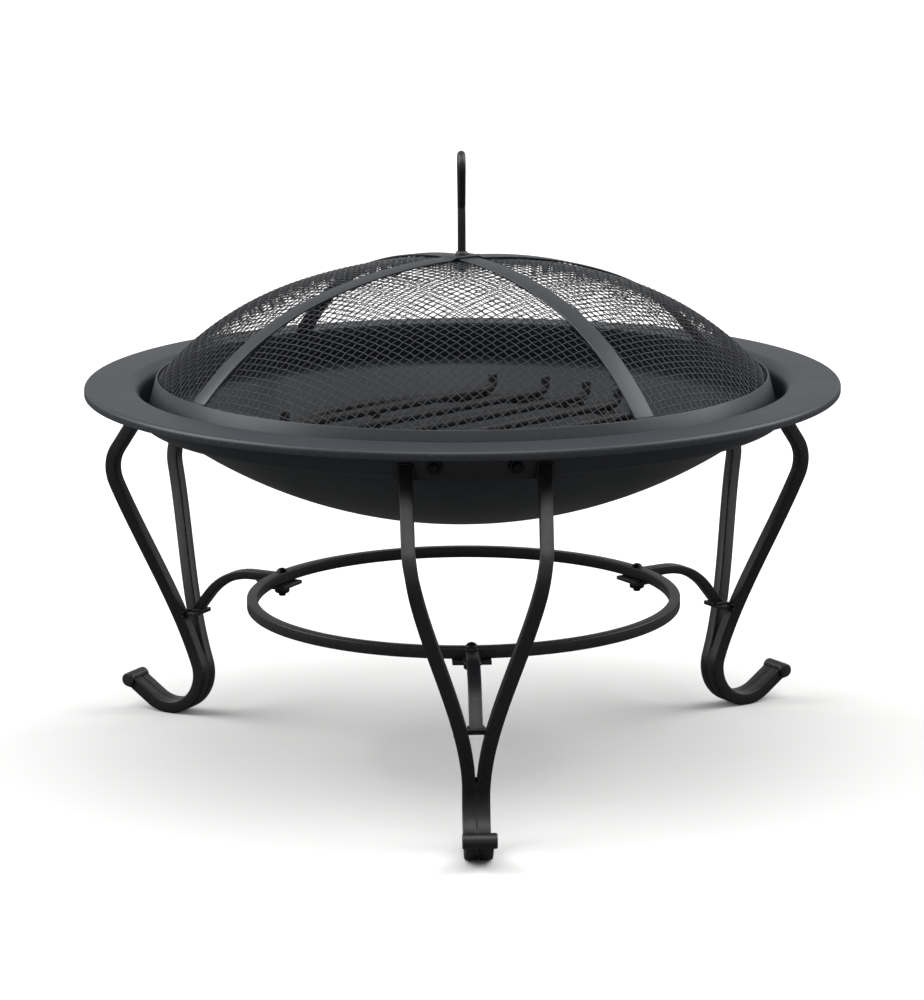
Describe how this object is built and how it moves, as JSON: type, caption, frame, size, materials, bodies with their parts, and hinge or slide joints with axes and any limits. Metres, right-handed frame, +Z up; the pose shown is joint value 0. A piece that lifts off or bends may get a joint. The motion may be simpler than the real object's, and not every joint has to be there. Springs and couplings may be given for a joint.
{
  "type": "fire pit with grate",
  "caption": "Round steel fire bowl on bent-bar legs with a lower ring, a lift-out log grate and a domed wire-mesh spark screen with a lifting eye.",
  "frame": {"origin": "on the floor, under the axis of the bowl, in the plane that the three feet stand on", "axes": "+Z up along the axis of the bowl; -Y towards the leg that faces the viewer; +X to the viewer's right"},
  "size_m": [0.56, 0.582, 0.458],
  "materials": {
    "bowl_enamel": "high-temperature enamel, satin, charcoal",
    "leg_coat": "powder coat, satin black",
    "ring_coat": "powder coat, satin black",
    "bolt_finish": "black oxide",
    "grate_steel": "matt heat-proof black",
    "screen_coat": "high-temperature enamel, satin",
    "screen_wire": "woven wire, black, satin",
    "handle_coat": "enamel, satin black",
    "plain_zinc": "zinc plated"
  },
  "bodies": {
    "stand": {"fire_bowl": "bowl_enamel", "front_leg_plate": "leg_coat", "right_leg_plate": "leg_coat", "left_leg_plate": "leg_coat", "front_leg_bar_a": "leg_coat", "front_leg_bar_b": "leg_coat", "right_leg_bar_a": "leg_coat", "right_leg_bar_b": "leg_coat", "left_leg_bar_a": "leg_coat", "left_leg_bar_b": "leg_coat", "front_leg_tab": "leg_coat", "right_leg_tab": "leg_coat", "left_leg_tab": "leg_coat", "front_foot_roller": "leg_coat", "right_foot_roller": "leg_coat", "left_foot_roller": "leg_coat", "front_ring_arm": "leg_coat", "right_ring_arm": "leg_coat", "left_ring_arm": "leg_coat", "front_arm_pad": "leg_coat", "right_arm_pad": "leg_coat", "left_arm_pad": "leg_coat", "lower_ring": "ring_coat", "ring_bolts": "bolt_finish", "ring_nuts": "bolt_finish", "bowl_bolts": "bolt_finish", "bowl_nuts": "bolt_finish"},
    "screen": {"screen_band": "screen_coat", "screen_mesh": "screen_wire", "lower_strap": "screen_coat", "upper_strap": "screen_coat", "screen_handle": "handle_coat", "handle_washer": "plain_zinc", "handle_nut": "plain_zinc"},
    "log_grate": {"grate_ring": "grate_steel", "grate_bar_1": "grate_steel", "grate_bar_2": "grate_steel", "grate_bar_3": "grate_steel", "grate_bar_4": "grate_steel", "grate_bar_5": "grate_steel", "grate_foot_1": "grate_steel", "grate_foot_2": "grate_steel", "grate_foot_3": "grate_steel"}
  },
  "joints": [
    {"name": "screen_lift", "type": "slide", "parent": "stand", "child": "screen", "axis": [0, 0, 1], "range_m": [0, 0.16]},
    {"name": "grate_lift", "type": "slide", "parent": "stand", "child": "log_grate", "axis": [0, 0, 1], "range_m": [0, 0.07]}
  ]
}
